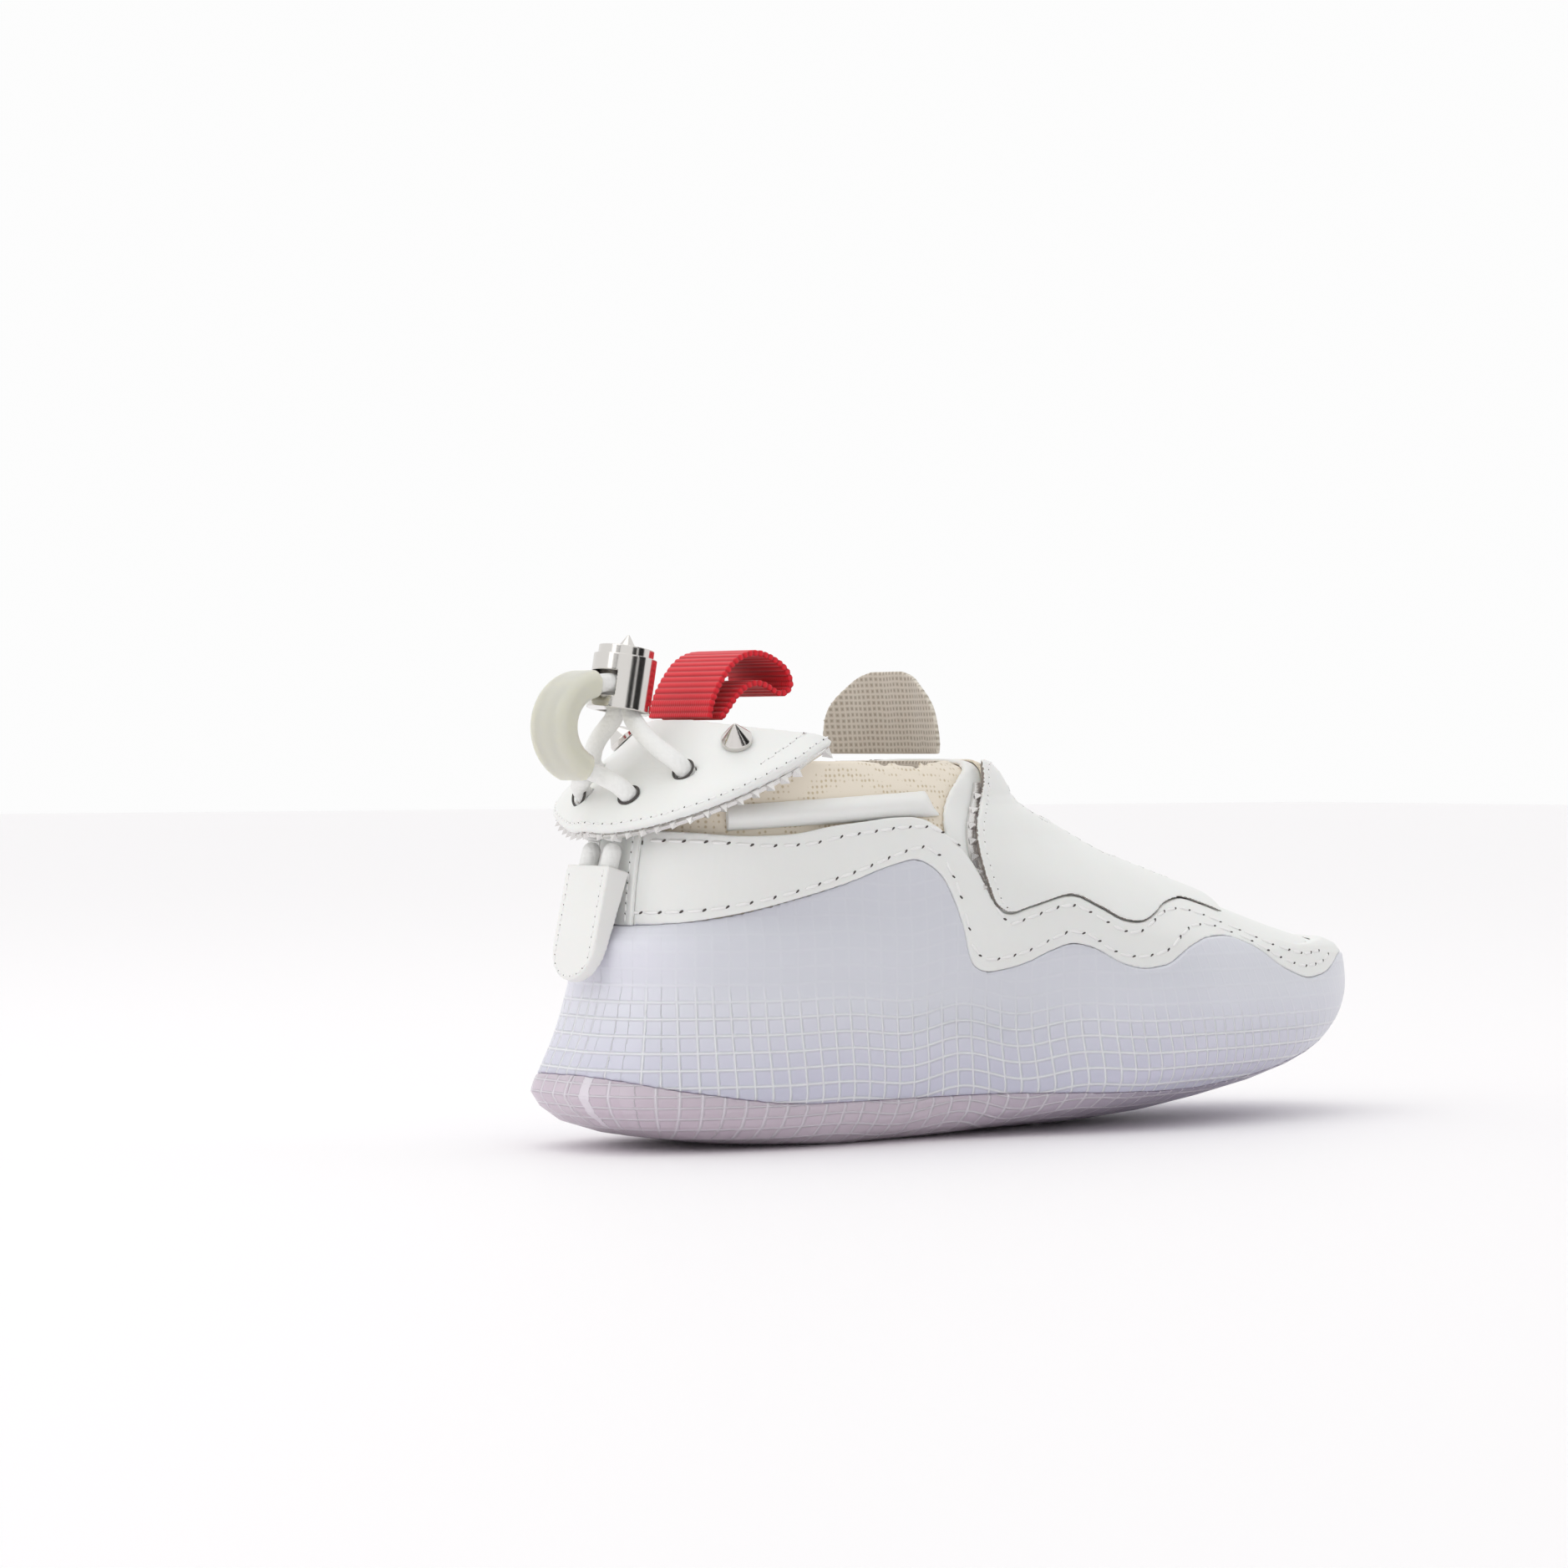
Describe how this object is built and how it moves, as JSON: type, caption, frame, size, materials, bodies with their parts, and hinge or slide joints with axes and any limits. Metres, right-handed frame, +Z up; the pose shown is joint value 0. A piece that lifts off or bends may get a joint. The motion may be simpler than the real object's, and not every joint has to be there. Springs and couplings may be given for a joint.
{
  "type": "sneaker",
  "caption": "Right-foot sneaker with moulded translucent sole, wavy leather bands, knitted bootie, flared collar flap, cord lock with grip, net tongue and ribbon pull loop.",
  "frame": {"origin": "on the floor under the middle of the pattern's length, on the shoe's middle plane", "axes": "+X towards the toe, -Y towards the outer side of the foot, +Z up"},
  "size_m": [0.2817, 0.0973, 0.1366],
  "materials": {
    "outsole_rubber": "translucent rose-lilac rubber, moulded grid",
    "wall_rubber": "translucent lilac-white rubber, moulded grid",
    "foam": "white closed-cell foam",
    "board": "fibre board",
    "footbed_cloth": "white knitted cover on foam",
    "knit": "ivory dotted mesh knit",
    "net": "taupe open net",
    "white_leather": "smooth white leather, fine grain",
    "cream_leather": "cream leather backing",
    "lining": "white lining leather",
    "steel": "plain steel",
    "nickel": "polished nickel",
    "silver_trim": "faceted silver beads on a tape",
    "red_ribbon": "red grosgrain ribbon",
    "white_cord": "white braided cord",
    "clear_grip": "translucent pale yellow soft plastic"
  },
  "bodies": {
    "shoe": {"outsole_tread": "outsole_rubber", "translucent_wall": "wall_rubber", "shank": "steel", "foam_core": "foam", "insole_board": "board", "footbed": "footbed_cloth", "knit_bootie": "knit", "vamp_leather": "white_leather", "heel_counter_lateral": "board", "heel_counter_medial": "board", "leather_band_lateral": "white_leather", "leather_band_medial": "white_leather", "heel_strip": "white_leather", "ridge_underlay": "cream_leather", "vamp_panel_lateral": "white_leather", "vamp_panel_medial": "white_leather", "tooth_trim_lateral": "silver_trim", "tooth_trim_medial": "silver_trim", "collar_flap": "white_leather", "flap_lining": "lining", "flap_seam": "lining", "flap_tooth_trim": "silver_trim", "stud_lateral": "nickel", "stud_screw_lateral": "steel", "stud_medial": "nickel", "stud_screw_medial": "steel", "loop_anchor": "red_ribbon", "tongue_base": "net", "ankle_cord_lateral": "white_leather", "ankle_cord_medial": "white_leather", "lock_cord_lateral": "white_cord", "lock_cord_medial": "white_cord", "cord_lock_drum": "nickel", "cord_grip": "clear_grip", "tab_hanger_lateral": "white_cord", "tab_hanger_medial": "white_cord"},
    "plunger": {"cord_lock_plunger": "nickel"},
    "tab": {"tab": "white_leather", "tab_cord_lateral": "white_cord", "tab_cord_medial": "white_cord"},
    "tongue": {"tongue": "net"},
    "loop": {"pull_loop": "red_ribbon"}
  },
  "joints": [
    {"name": "plunger_press", "type": "slide", "parent": "shoe", "child": "plunger", "axis": [-0.1736, 0, -0.9848], "range_m": [0, 0.0018], "stiffness_N_per_m": 300, "springref_m": -0.004},
    {"name": "tab_swing", "type": "hinge", "parent": "shoe", "child": "tab", "pos_m": [-0.124, 0, 0.079], "axis": [0, 1, 0], "range_deg": [0, 60]},
    {"name": "tongue_tilt", "type": "hinge", "parent": "shoe", "child": "tongue", "pos_m": [-0.0255, 0, 0.104], "axis": [0, 1, 0], "range_deg": [-25, 15], "stiffness_Nm_per_rad": 0.03},
    {"name": "loop_flex", "type": "hinge", "parent": "shoe", "child": "loop", "pos_m": [-0.0965, 0, 0.114], "axis": [0, 1, 0], "range_deg": [-12, 25], "stiffness_Nm_per_rad": 0.03}
  ]
}
